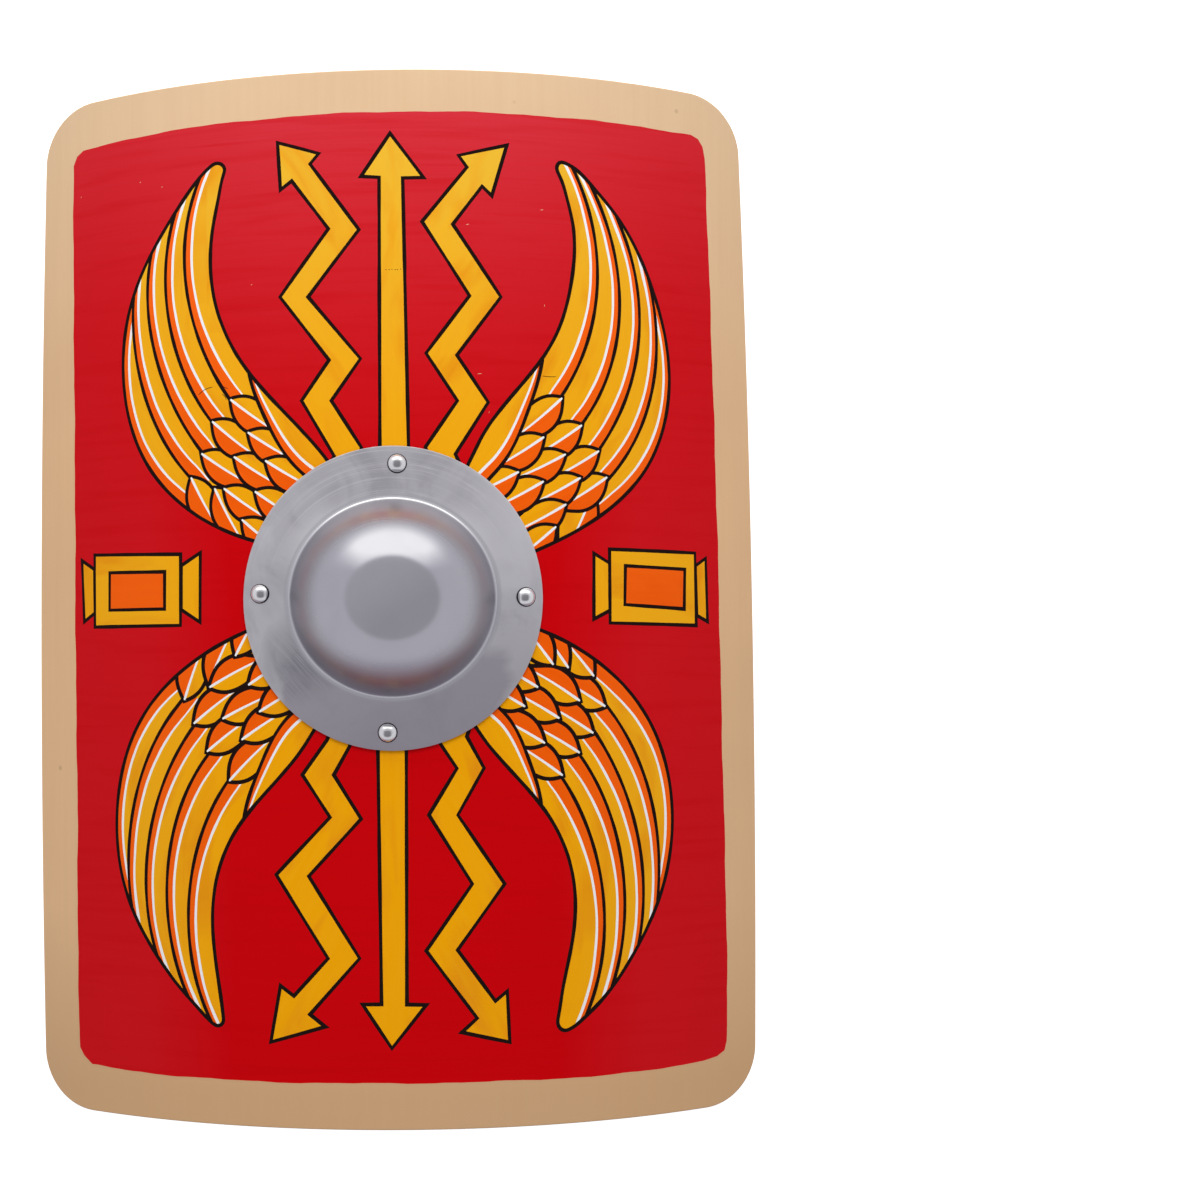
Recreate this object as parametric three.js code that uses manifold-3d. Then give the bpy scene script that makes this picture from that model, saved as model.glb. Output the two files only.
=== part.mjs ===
// Curved rectangular shield, lying on its two long edges with its hollow back down.
// Millimetres, +Z up, +Y towards the shield's top edge, +X to the right seen from the front.
// The origin is under the middle, on the ground that the long edges rest on.

import * as THREE from 'three';
import { mergeVertices } from 'three/addons/utils/BufferGeometryUtils.js';
import Module from 'manifold-3d';

// Board: one sheet of plywood, bent about an axis that runs along Y
const boardHeight = 720;
const boardWidth = 542; // along the curve, where the long edges meet the corners
const boardRadius = 432; // of the outer face
const boardThickness = 6;
const sideBow = 6.7; // how far each long edge bows out at mid height
const cornerAcross = 47.5;
const cornerAlong = 39.4;
const restFlatDepth = 1; // planed off the lowest arris of each long edge

// Boss: one piece of pressed sheet steel, a dome with a flange bent to the board
const bossOffset = -4; // along Y from the board's middle
const domeAlong = 134; // the dome's base along Y
const domeAcross = 140.5; // and across, where bending the flange drew it wider
const domeHeight = 40; // above the flange
const domeFillet = 4;
const flangeWidth = 36.5;
const steelThickness = 1.2;
const handHoleLedge = 6; // board left inside the dome, round the hand hole

// Rivets: round heads in front, small tails behind
const rivetInset = 12.3; // from the flange's edge
const rivetTurns = [0, 87.5, 177.5, 267.5]; // degrees about the boss, from +X
const rivetNames = ['rivet_right', 'rivet_top', 'rivet_left', 'rivet_bottom'];
const rivetHeadDiameter = 13.5;
const rivetHeadHeight = 4.6;
const rivetShankDiameter = 5;
const rivetTailDiameter = 9;
const rivetTailHeight = 2;
const rivetTailShoulder = 0.75; // share of the tail's height and width where its edge is chamfered

// Grip: a wooden bar across the hand hole, held by the left and right rivets
const gripWidth = 30;
const gripThickness = 22;
const gripEdgeRadius = 8;
const gripDrop = 6; // from the crown of the board's back to the bar's front
const gripEndMargin = 13; // past the rivets
const tongueThickness = 14;
const tongueStandoff = 11; // from the hand hole to where the thinner ends begin

// Fits
const seatGap = 0.3; // between pieces that touch
const shankClearance = 0.3; // round each rivet's shank

// Smoothness of round work
const boardFacets = 44;
const arcFacets = 6;
const turnedFacets = 64;
const smallTurnedFacets = 24;
const domeRings = 9;
const filletRings = 3;
const flangeRings = 3;
const headRings = 4;
const toolMargin = 10; // how far a cutting form runs past the material

// Sizes that follow from those above
const halfHeight = boardHeight / 2;
const halfWidth = boardWidth / 2;
const backRadius = boardRadius - boardThickness;
const widestAngle = (halfWidth + sideBow) / boardRadius;
const restLevel = backRadius * Math.cos(widestAngle) + restFlatDepth; // above the bend's axis
const domeRadius = domeAlong / 2;
const flangeRadius = domeRadius + flangeWidth;
const rivetRing = flangeRadius - rivetInset;
const handHoleRadius = domeRadius - handHoleLedge;
const shankHoleRadius = rivetShankDiameter / 2 + shankClearance;
const flangeTop = seatGap + steelThickness; // above the board's face

const wasm = await Module();
wasm.setup();

function solid(geometry) {
  const bare = geometry.clone();
  bare.deleteAttribute('normal');
  bare.deleteAttribute('uv');
  const merged = mergeVertices(bare);
  const corners = [];
  for (let i = 0; i < merged.index.count; i += 3) {
    const [a, b, c] = [merged.index.getX(i), merged.index.getX(i + 1), merged.index.getX(i + 2)];
    if (a !== b && b !== c && c !== a) corners.push(a, b, c);
  }
  return new wasm.Manifold(new wasm.Mesh({
    numProp: 3,
    vertProperties: new Float32Array(merged.attributes.position.array),
    triVerts: new Uint32Array(corners),
  }));
}

function surfaceOf(manifold) {
  const mesh = manifold.getMesh();
  const geometry = new THREE.BufferGeometry();
  geometry.setAttribute('position', new THREE.BufferAttribute(mesh.vertProperties, 3));
  geometry.setIndex(new THREE.BufferAttribute(mesh.triVerts, 1));
  geometry.computeVertexNormals();
  return geometry;
}

function cut(body, tools) {
  return tools.reduce((rest, tool) => rest.subtract(solid(tool)), body);
}

// A shape drawn across the board (x) and up (y becomes z), as long as length along Y
function alongY(shape, length, facets) {
  const geometry = new THREE.ExtrudeGeometry(shape, {
    depth: length, bevelEnabled: false, curveSegments: facets,
  });
  geometry.rotateX(Math.PI / 2);
  geometry.translate(0, length / 2, 0);
  return geometry;
}

// Puts a form that stands on the XY plane square to the board, at a place on its face
function squareToBoard(geometry, across, along) {
  geometry.translate(0, 0, boardRadius);
  geometry.rotateY(across / boardRadius);
  geometry.translate(0, along, 0);
  return geometry;
}

// Draws the round dome wider across, and less so towards the flange's edge
function widened(geometry) {
  const place = geometry.attributes.position;
  for (let i = 0; i < place.count; i += 1) {
    const radius = Math.hypot(place.getX(i), place.getY(i));
    const share = THREE.MathUtils.clamp((flangeRadius - radius) / flangeWidth, 0, 1);
    place.setX(i, place.getX(i) * (1 + share * (domeAcross / domeAlong - 1)));
  }
  return geometry;
}

// Lets a form drawn flat over the board follow the board's bend
function bentToBoard(geometry) {
  const place = geometry.attributes.position;
  for (let i = 0; i < place.count; i += 1) {
    const angle = place.getX(i) / boardRadius;
    place.setX(i, boardRadius * Math.sin(angle));
    place.setZ(i, place.getZ(i) + boardRadius * Math.cos(angle));
  }
  return geometry;
}

function turned(points, facets) {
  const geometry = new THREE.LatheGeometry(points, facets);
  geometry.rotateX(Math.PI / 2);
  return geometry;
}

const rivetPlaces = rivetTurns.map((turn) => {
  const angle = THREE.MathUtils.degToRad(turn);
  return [rivetRing * Math.cos(angle), bossOffset + rivetRing * Math.sin(angle)];
});

// Drills as long as twice reach, one for each rivet
function rivetDrills(reach) {
  return rivetPlaces.map(([across, along]) => {
    const drill = new THREE.CylinderGeometry(
      shankHoleRadius, shankHoleRadius, 2 * reach, smallTurnedFacets,
    );
    drill.rotateX(Math.PI / 2);
    return squareToBoard(drill, across, along);
  });
}

// What is sawn off past the right-hand edge: both corners and the bow between them
function edgeWaste() {
  const cornerLine = halfHeight - cornerAlong;
  const bowLeft = (cornerLine / halfHeight) ** 2;
  const cornerEdge = sideBow * (1 - bowLeft);
  const bowControl = sideBow * (1 + bowLeft);
  const start = cornerEdge - cornerAcross;
  const past = sideBow + 3 * toolMargin;
  const shape = new THREE.Shape();
  shape.moveTo(start, halfHeight);
  shape.absellipse(start, cornerLine, cornerAcross, cornerAlong, Math.PI / 2, 0, true);
  shape.quadraticCurveTo(bowControl, 0, cornerEdge, -cornerLine);
  shape.absellipse(start, -cornerLine, cornerAcross, cornerAlong, 0, -Math.PI / 2, true);
  shape.lineTo(start, -halfHeight - toolMargin);
  shape.lineTo(past, -halfHeight - toolMargin);
  shape.lineTo(past, halfHeight + toolMargin);
  shape.lineTo(start, halfHeight + toolMargin);
  shape.closePath();
  const depth = boardThickness + 4 * toolMargin;
  const waste = new THREE.ExtrudeGeometry(shape, {
    depth, bevelEnabled: false, curveSegments: 2 * arcFacets,
  });
  waste.translate(0, 0, -depth / 2);
  return squareToBoard(waste, halfWidth, 0);
}

function boardSolid() {
  const reach = widestAngle + toolMargin / boardRadius;
  const [left, right] = [Math.PI / 2 + reach, Math.PI / 2 - reach];
  const section = new THREE.Shape();
  section.absarc(0, 0, boardRadius, left, right, true);
  section.absarc(0, 0, backRadius, right, left, false);
  section.closePath();
  const sheet = solid(alongY(section, boardHeight, boardFacets / 2));

  const rightWaste = edgeWaste();
  const leftWaste = edgeWaste().rotateZ(Math.PI);
  const handHole = new THREE.CylinderGeometry(
    handHoleRadius, handHoleRadius, 2 * toolMargin + 2 * boardThickness, turnedFacets,
  );
  handHole.rotateX(Math.PI / 2);
  squareToBoard(handHole, 0, bossOffset);
  const ground = new THREE.BoxGeometry(3 * boardWidth, 2 * boardHeight, boardRadius);
  ground.translate(0, 0, restLevel - boardRadius / 2);
  const drills = rivetDrills(boardThickness + toolMargin);
  return cut(sheet, [rightWaste, leftWaste, handHole, ground, ...drills]);
}

// One face of the pressed steel, from the dome's top to the flange's edge
function steelFace(inset) {
  const sphere = (domeRadius ** 2 + domeHeight ** 2) / (2 * domeHeight);
  const sphereCentre = flangeTop + domeHeight - sphere;
  const filletCentreHeight = flangeTop + domeFillet;
  const filletCentreRadius = Math.sqrt(
    (sphere + domeFillet) ** 2 - (filletCentreHeight - sphereCentre) ** 2,
  );
  const lean = Math.atan2(filletCentreRadius, filletCentreHeight - sphereCentre);
  const shell = sphere - inset;
  const fillet = domeFillet + inset;
  const points = [];
  for (let i = 0; i <= domeRings; i += 1) {
    const angle = (lean * i) / domeRings;
    points.push(new THREE.Vector2(shell * Math.sin(angle), sphereCentre + shell * Math.cos(angle)));
  }
  for (let i = 1; i <= filletRings; i += 1) {
    const angle = lean * (1 - i / filletRings);
    points.push(new THREE.Vector2(
      filletCentreRadius - fillet * Math.sin(angle),
      filletCentreHeight - fillet * Math.cos(angle),
    ));
  }
  for (let i = 1; i <= flangeRings; i += 1) {
    const radius = filletCentreRadius + ((flangeRadius - filletCentreRadius) * i) / flangeRings;
    points.push(new THREE.Vector2(radius, flangeTop - inset));
  }
  return points;
}

function bossSolid() {
  const boss = turned([...steelFace(steelThickness), ...steelFace(0).reverse()], turnedFacets);
  const pressed = bentToBoard(widened(boss));
  pressed.translate(0, bossOffset, 0);
  return cut(solid(pressed), rivetDrills(toolMargin));
}

function rivetSolid([across, along], grippedWood) {
  const headBase = flangeTop + seatGap;
  const headRadius = rivetHeadDiameter / 2;
  const headSphere = (headRadius ** 2 + rivetHeadHeight ** 2) / (2 * rivetHeadHeight);
  const headLean = Math.asin(headRadius / headSphere);
  const headCentre = headBase + rivetHeadHeight - headSphere;
  const tailBase = -boardThickness - grippedWood - seatGap;
  const shankRadius = rivetShankDiameter / 2;
  const tailRadius = rivetTailDiameter / 2;
  const points = [];
  for (let i = 0; i <= headRings; i += 1) {
    const angle = (headLean * i) / headRings;
    points.push(new THREE.Vector2(
      headSphere * Math.sin(angle), headCentre + headSphere * Math.cos(angle),
    ));
  }
  points.push(new THREE.Vector2(shankRadius, headBase));
  points.push(new THREE.Vector2(shankRadius, tailBase));
  points.push(new THREE.Vector2(tailRadius, tailBase));
  points.push(new THREE.Vector2(
    tailRadius * rivetTailShoulder, tailBase - rivetTailHeight * rivetTailShoulder,
  ));
  points.push(new THREE.Vector2(0, tailBase - rivetTailHeight));
  const rivet = turned(points.reverse(), smallTurnedFacets);
  return solid(squareToBoard(rivet, across, along));
}

function gripSolid() {
  const halfLength = rivetRing + gripEndMargin;
  const [halfSide, halfDepth] = [gripThickness / 2, gripWidth / 2];
  const section = new THREE.Shape();
  const [flatSide, flatDepth] = [halfSide - gripEdgeRadius, halfDepth - gripEdgeRadius];
  section.absarc(flatSide, flatDepth, gripEdgeRadius, 0, Math.PI / 2, false);
  section.absarc(-flatSide, flatDepth, gripEdgeRadius, Math.PI / 2, Math.PI, false);
  section.absarc(-flatSide, -flatDepth, gripEdgeRadius, Math.PI, 1.5 * Math.PI, false);
  section.absarc(flatSide, -flatDepth, gripEdgeRadius, 1.5 * Math.PI, 2 * Math.PI, false);
  section.closePath();
  const bar = new THREE.ExtrudeGeometry(section, {
    depth: 2 * halfLength, bevelEnabled: false, curveSegments: arcFacets / 2,
  });
  bar.translate(0, 0, -halfLength);
  bar.rotateY(Math.PI / 2);
  bar.translate(0, bossOffset, backRadius - gripDrop - halfSide);

  // The bar's front beds on the board's back, and its ends are thinned to follow it
  const bedRadius = backRadius - seatGap;
  const tongueRadius = bedRadius - tongueThickness;
  const tongueStart = handHoleRadius + tongueStandoff;
  const tongueEnd = halfLength + toolMargin;
  const bed = new THREE.Shape();
  const bedReach = Math.asin((tongueEnd + toolMargin) / bedRadius);
  bed.absarc(0, 0, bedRadius, Math.PI / 2 + bedReach, Math.PI / 2 - bedReach, true);
  bed.absarc(0, 0, boardRadius + gripThickness, Math.PI / 2 - bedReach, Math.PI / 2 + bedReach, false);
  bed.closePath();
  const underTongue = new THREE.Shape();
  const tongueFrom = Math.acos(tongueStart / tongueRadius);
  const tongueTo = Math.acos(tongueEnd / tongueRadius);
  underTongue.absarc(0, 0, tongueRadius, tongueTo, tongueFrom, false);
  underTongue.lineTo(tongueStart, tongueRadius / 2);
  underTongue.lineTo(tongueEnd, tongueRadius / 2);
  underTongue.closePath();
  const across = 2 * gripWidth;
  const bedTool = alongY(bed, across, boardFacets / 2).translate(0, bossOffset, 0);
  const rightTool = alongY(underTongue, across, arcFacets).translate(0, bossOffset, 0);
  const leftTool = alongY(underTongue, across, arcFacets).rotateZ(Math.PI).translate(0, bossOffset, 0);
  const drills = rivetDrills(boardThickness + gripThickness + toolMargin);
  return cut(solid(bar), [bedTool, rightTool, leftTool, ...drills]);
}

// Assembly, round the axis that the board is bent about
const wood = { color: 0xcfaa80, roughness: 0.62, metalness: 0 };
const paintedWood = { color: 0xc0161f, roughness: 0.42, metalness: 0 };
const steel = { color: 0xa9a9b0, roughness: 0.34, metalness: 1 };
const brightSteel = { color: 0xd0d0d4, roughness: 0.18, metalness: 1 };

const shield = new THREE.Group();
const aboutAxis = new THREE.Group();
aboutAxis.position.z = -restLevel;
shield.add(aboutAxis);

function addPiece(name, manifold, finish) {
  const mesh = new THREE.Mesh(surfaceOf(manifold), new THREE.MeshStandardMaterial(finish));
  mesh.name = name;
  aboutAxis.add(mesh);
}

addPiece('board', boardSolid(), paintedWood);
addPiece('boss', bossSolid(), steel);
addPiece('grip', gripSolid(), wood);
rivetPlaces.forEach((place, i) => {
  const throughGrip = Math.abs(place[1] - bossOffset) < gripWidth / 2;
  addPiece(rivetNames[i], rivetSolid(place, throughGrip ? tongueThickness + seatGap : 0), brightSteel);
});

export default shield;
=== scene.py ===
import math

import bmesh
import bpy
import numpy as np
from mathutils import Matrix, Vector
from mathutils.geometry import delaunay_2d_cdt


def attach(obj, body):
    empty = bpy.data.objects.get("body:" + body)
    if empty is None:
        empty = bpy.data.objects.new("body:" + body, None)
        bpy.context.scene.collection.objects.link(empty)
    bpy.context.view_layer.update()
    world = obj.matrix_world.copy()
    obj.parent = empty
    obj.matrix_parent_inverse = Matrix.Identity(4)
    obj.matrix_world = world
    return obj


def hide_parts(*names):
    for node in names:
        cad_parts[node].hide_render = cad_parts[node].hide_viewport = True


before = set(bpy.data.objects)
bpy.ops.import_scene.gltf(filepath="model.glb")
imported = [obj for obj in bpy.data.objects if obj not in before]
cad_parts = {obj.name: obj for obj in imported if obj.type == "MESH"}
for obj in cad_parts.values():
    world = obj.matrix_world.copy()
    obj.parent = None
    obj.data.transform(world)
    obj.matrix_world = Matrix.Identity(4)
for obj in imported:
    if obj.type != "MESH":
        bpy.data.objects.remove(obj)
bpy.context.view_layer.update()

# Sizes in millimetres, as the frame has them. "Across" runs along the board's bend, "along" up its height.
MM = 0.001
BOARD_RADIUS = 432.0
BOARD_THICKNESS = 6.0
PLY_THICKNESS = 1.2
HALF_HEIGHT = 360.0
HALF_WIDTH = 271.0
SIDE_BOW = 6.7
CORNER_ACROSS = 47.5
CORNER_ALONG = 39.4
REST_LEVEL = (BOARD_RADIUS - BOARD_THICKNESS) * math.cos((HALF_WIDTH + SIDE_BOW) / BOARD_RADIUS) + 1.0
ARRIS = 0.9
BOSS_OFFSET = -4.0
DOME_RADIUS = 67.0
DOME_WIDENING = 140.5 / 134.0
DOME_HEIGHT = 40.0
DOME_FILLET = 4.0
FLANGE_WIDTH = 36.5
FLANGE_RADIUS = DOME_RADIUS + FLANGE_WIDTH
STEEL = 1.2
SEAT_GAP = 0.3
FLANGE_TOP = SEAT_GAP + STEEL
HAND_HOLE_RADIUS = 61.0
GRIP_WIDTH = 30.0
RIVET_RING = 91.2
RIVET_HOLE_RADIUS = 2.8
RIVETS = {"rivet_right": 0.0, "rivet_top": 87.5, "rivet_left": 177.5, "rivet_bottom": 267.5}
STRIP = 10.0  # the width of the strips that the bend is made of
LINE = 2.5  # the width of the drawn dark lines


# ---------------------------------------------------------------- drawing on the flat sheet
def curve(knots, step=2.6):
    """A smooth line through knots (a cubic spline), with a point about every step."""
    p = np.array(knots, float)
    h = np.hypot(*np.diff(p, axis=0).T)
    t = np.concatenate([[0], np.cumsum(h)])
    n = len(p)
    a, b = np.zeros((n, n)), np.zeros((n, 2))
    if n > 3:
        a[0, :3] = h[1], -(h[0] + h[1]), h[0]
        a[-1, -3:] = h[-1], -(h[-2] + h[-1]), h[-2]
    else:
        a[0, 0] = a[-1, -1] = 1
    for i in range(1, n - 1):
        a[i, i - 1:i + 2] = h[i - 1], 2 * (h[i - 1] + h[i]), h[i]
        b[i] = 6 * ((p[i + 1] - p[i]) / h[i] - (p[i] - p[i - 1]) / h[i - 1])
    m = np.linalg.solve(a, b)
    s = np.linspace(0, t[-1], max(3, int(round(t[-1] / step)) + 1))
    i = np.clip(np.searchsorted(t, s, side="right") - 1, 0, n - 2)
    f, g, w = (t[i + 1] - s)[:, None], (s - t[i])[:, None], h[i][:, None]
    return (m[i] * f ** 3 + m[i + 1] * g ** 3) / (6 * w) + (p[i] / w - m[i] * w / 6) * f \
        + (p[i + 1] / w - m[i + 1] * w / 6) * g


def towards(degrees):
    """A unit step on the sheet, by its angle from the way across."""
    return np.array([math.cos(math.radians(degrees)), math.sin(math.radians(degrees))])


def lengths(line):
    """How far along a line each of its points lies."""
    return np.concatenate([[0], np.cumsum(np.hypot(*np.diff(line, axis=0).T))])


def normals(line, closed=False):
    """Unit normals to the right of a line's way."""
    if closed:
        d0, d1 = line - np.roll(line, 1, 0), np.roll(line, -1, 0) - line
    else:
        d = np.diff(line, axis=0)
        d0, d1 = np.vstack([d[:1], d]), np.vstack([d, d[-1:]])
    d0 = d0 / np.maximum(np.hypot(*d0.T), 1e-9)[:, None]
    d1 = d1 / np.maximum(np.hypot(*d1.T), 1e-9)[:, None]
    m = d0 + d1
    m = m / np.maximum(np.hypot(*m.T), 1e-9)[:, None]
    stretch = 1 / np.clip((m * d0).sum(1), 0.35, 1)
    return np.stack([m[:, 1], -m[:, 0]], -1) * stretch[:, None]


def area(loop):
    x, y = np.asarray(loop, float).T
    return 0.5 * (x * np.roll(y, -1) - np.roll(x, -1) * y).sum()


def grown(loop, by):
    """A closed outline, moved outwards by that much."""
    loop = np.asarray(loop, float)
    turn = 1 if area(loop) > 0 else -1
    return loop + normals(loop, True) * by * turn


def hand(line, amount, seed):
    """The small unevenness of a stroke drawn by hand, as a number for each point."""
    s = lengths(line)
    k = np.array([0.031, 0.083, 0.19]) * (1 + 0.13 * np.sin(seed * np.array([1.7, 2.9, 4.1])))
    ph = np.array([1.3, 2.1, 3.7]) * seed
    return amount * (np.sin(s[:, None] * k * 2 + ph) * [0.5, 0.33, 0.17]).sum(1)


def ribbon(line, right, left):
    """The closed outline of a stroke that reaches that far to each side of a line."""
    n = normals(line)
    right, left = np.broadcast_to(right, len(line)), np.broadcast_to(left, len(line))
    return np.vstack([line + n * right[:, None], (line - n * left[:, None])[::-1]])


def stroke(line, width, seed, blunt=0.55):
    """A brushed line of about that width, a little finer at its ends."""
    s = lengths(line)
    ends = np.clip(np.minimum(s, s[-1] - s) / (2.2 * width), 0, 1)
    half = width / 2 * (blunt + (1 - blunt) * np.sqrt(ends)) * (1 + hand(line, 0.16, seed))
    return ribbon(line, half, half)


def ellipse(across, along, rx, ry, n):
    """A closed outline of n points, round a middle."""
    a = np.arange(n) * 2 * math.pi / n
    return np.stack([across + rx * np.cos(a), along + ry * np.sin(a)], -1)


PLY, EDGE, RED, YELLOW, ORANGE, WHITE, BLACK = range(7)
painted = []  # outline, finish, outline it stays inside, way of the brush, and the only line of it that is an edge


def paint(outline, finish, inside=None, way=0.0, drawn=None):
    painted.append((np.asarray(outline, float), finish, inside, way, drawn))


# The board's outline: straight ends, elliptical corners and bowed sides
CORNER_STEPS, SIDE_STEPS = 24, 16


def side_at(along):
    """How far across the board's long edge lies, at a height."""
    return HALF_WIDTH + SIDE_BOW * (1 - (along / HALF_HEIGHT) ** 2)


def quarter_outline():
    side_end = HALF_HEIGHT - CORNER_ALONG
    start = side_at(side_end) - HALF_WIDTH - CORNER_ACROSS
    points = [(u, HALF_HEIGHT) for u in np.arange(0, HALF_WIDTH + start - 1, STRIP)]
    for i in range(CORNER_STEPS + 1):
        a = math.pi / 2 * (1 - i / CORNER_STEPS)
        x = start + CORNER_ACROSS * math.cos(a)
        u = HALF_WIDTH + BOARD_RADIUS * math.asin(x / BOARD_RADIUS)
        points.append((u, side_end + CORNER_ALONG * math.sin(a)))
    for i in range(1, SIDE_STEPS + 1):
        v = side_end * (1 - i / SIDE_STEPS)
        points.append((side_at(v), v))
    return points


quarter = quarter_outline()
right_side = quarter + [(u, -v) for u, v in reversed(quarter[:-1])]
board_outline = np.array(right_side + [(-u, v) for u, v in reversed(right_side[1:-1])])[::-1]
FACE_OUTLINE = grown(board_outline, -ARRIS)

# The red field, brushed up to a line a little out of true
RED_STEP, RED_WAVER = 6, 0.55
red_field = np.vstack([curve(knots, RED_STEP) if len(knots) > 2 else knots for knots in (
    [(-243.6, 316), (-243.5, 203), (-242.2, 70), (-241.4, -57), (-239.9, -143), (-239.4, -250), (-237, -317)],
    [(-233.5, -322.5)],
    [(-226, -328), (-140, -329.6), (0, -329), (120, -329.5), (200, -328.3), (235, -325.5)],
    [(242, -322.3)],
    [(244.5, -316), (245.8, -200), (244.9, -100), (244.2, 24), (243, 110), (241.4, 197), (238.4, 314)],
    [(236.5, 322), (232.5, 327)],
    [(226, 329.3), (120, 330), (0, 330.3), (-100, 329.3), (-190, 327.7), (-234, 325.5)],
    [(-240, 322.3)])])
red_field = red_field + normals(red_field, True) * hand(red_field, RED_WAVER, 4)[:, None]
paint(red_field, RED)


def outlined(corners, finish, way):
    """A straight-sided shape in one colour, with a dark line drawn round it."""
    step, waver = 14.0, 0.28
    loop = []
    for a, b in zip(corners, corners[1:] + corners[:1]):
        a, b = np.array(a, float), np.array(b, float)
        m = max(1, int(np.hypot(*(b - a)) / step))
        loop += [a + (b - a) * k / m for k in range(m)]
    loop = np.array(loop)
    wave = hand(np.vstack([loop, loop[:1]]), waver, abs(corners[0][0]) + len(corners))[:-1, None]
    outer, inner = grown(loop, LINE / 2), grown(loop, -LINE / 2)
    paint(outer + normals(loop, True) * wave, BLACK)
    paint(inner - normals(loop, True) * wave * 0.6, finish, way=way)


# The bolts, each a zigzag with an arrow head, from the boss to near the end of the board, and the two arrows;
# each with the way it was brushed, in degrees
for way, corners in (
        (-60.0, [(-25, 80), (-20.1, 98.5), (-40.6, 131.2), (-20.3, 159.6), (-56.3, 203.3), (-20.7, 248.7),
         (-54.3, 295.7), (-48.1, 302.7), (-77.2, 312.0), (-75.3, 278.8), (-67.3, 284.6), (-41.8, 250.0),
         (-76.1, 204.2), (-42.0, 159.2), (-61.3, 131.8), (-39.0, 93.2), (-46, 80)]),
        (60.0, [(28, 80), (23.4, 98.4), (45.5, 130.2), (24.4, 162.8), (54.7, 202.6), (22.6, 253.7), (53.9, 291.8),
         (48.1, 299.9), (82.0, 308.0), (71.0, 272.3), (64.3, 278.7), (43.7, 252.0), (76.6, 202.2), (45.6, 161.5),
         (66.9, 129.3), (43.8, 93.5), (50, 80)]),
        (60.0, [(-33, -85), (-29.5, -103.6), (-40.8, -123.4), (-22.4, -153.0), (-58.4, -191.5), (-24.1, -246.2),
         (-58.2, -283.8), (-47.8, -291.8), (-85.5, -303.0), (-78.5, -265.1), (-69.2, -271.8), (-45.6, -246.4),
         (-81.0, -190.7), (-43.6, -151.9), (-62.4, -123.3), (-45.1, -99.6), (-40, -85)]),
        (-60.0, [(24, -85), (31.8, -103.5), (42.5, -119.7), (23.3, -150.7), (52.1, -197.3), (20.6, -241.4),
         (54.4, -286.8), (44.0, -295.9), (76.5, -303.5), (75.2, -269.4), (67.0, -275.8), (41.7, -241.2),
         (74.3, -197.8), (42.9, -151.0), (61.1, -119.7), (49.5, -98.4), (54, -85)]),
        (90.0, [(-9, 80), (-7.6, 100), (-6.6, 284.6), (-19.0, 285.6), (1.2, 315.2), (24.0, 284.2), (9.6, 284.0),
         (11.9, 100), (12, 80)]),
        (90.0, [(-11, -85), (-10.7, -109), (-9.7, -276.7), (-22.4, -276.8), (-3.0, -306.0), (20.3, -277.3),
         (7.3, -276.9), (8.5, -109), (8.5, -85)])):
    outlined(corners, YELLOW, way)

# The tablets, each a box with two flaring ends
for finish, way, corners in (
        (YELLOW, 90, [(-235.4, 28.0), (-223.7, 21.1), (-223.2, -9.9), (-233.2, -16.0)]),
        (YELLOW, 90, [(-150.2, 21.0), (-135.4, 29.6), (-135.8, -18.6), (-150.3, -9.6)]),
        (YELLOW, 0, [(-223.5, 31.4), (-150.7, 29.0), (-150.9, -20.5), (-223.3, -20.0)]),
        (ORANGE, 0, [(-209.8, 18.2), (-163.4, 17.2), (-163.5, -8.8), (-210, -8.4)]),
        (YELLOW, 90, [(141.3, 26.4), (153.0, 19.8), (153.0, -12.9), (140.6, -19.0)]),
        (YELLOW, 90, [(223.5, 19.3), (232.7, 24.9), (233.4, -20.2), (223.9, -15.9)]),
        (YELLOW, 0, [(153.2, 29.4), (223.2, 28.3), (223.2, -23.0), (152.8, -21.7)]),
        (ORANGE, 0, [(165.3, 18.1), (214.0, 16.5), (212.9, -11.5), (164.3, -8.9)])):
    outlined(corners, finish, way)

# The wings: one pattern, drawn for the upper right quarter, and laid down four times, each a little off by hand
OUTER = [(118.9, 299.2), (162.7, 259.7), (191.8, 208.5), (200.9, 150.2), (184.4, 93.4), (146.1, 53.2), (96.5, 28.1)]
INNER = [(114.8, 292.7), (123.9, 250.6), (125.4, 207.5), (110.7, 165.9), (82.9, 130.9), (54.7, 96.2)]
FEATHERS = [[(130.7, 292.2), (145.5, 238.2), (139.8, 181.8), (115.6, 131.1)],
            [(148.5, 274.6), (161.7, 220.3), (155.5, 164.8), (130.1, 114.9)],
            [(169.2, 250.3), (177.4, 196.7), (166.7, 143.6), (140.4, 96.2)],
            [(188.5, 215.2), (189.7, 167.1), (177.0, 120.4), (151.0, 80.1)]]
WING_TIPS = {
    "upper_left": [(124.8, 257.2), (120.4, 278.3), (116.9, 292.8), (116.0, 296.7), (118.3, 300.2), (123.2, 301.2),
                   (127.0, 299.2), (137.8, 289.5), (151.4, 273.3)],
    "upper_right": [(129.3, 253.9), (125.3, 272.4), (119.4, 289.4), (117.8, 294.7), (120.1, 298.1), (124.3, 297.8),
                    (130.8, 294.8), (144.1, 283.2), (162.9, 263.2)],
    "lower_left": [(126.3, 238.9), (122.8, 264.5), (119.5, 287.6), (119.8, 291.4), (122.9, 293.6), (128.5, 291.3),
                   (140.0, 280.9), (151.6, 269.8), (168.1, 251.2)],
    "lower_right": [(120.9, 240.1), (115.0, 265.5), (110.6, 288.3), (110.3, 293.4), (114.0, 297.4), (119.5, 296.5),
                    (128.4, 290.6), (139.8, 281.1), (169.4, 245.4)],
}
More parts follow.
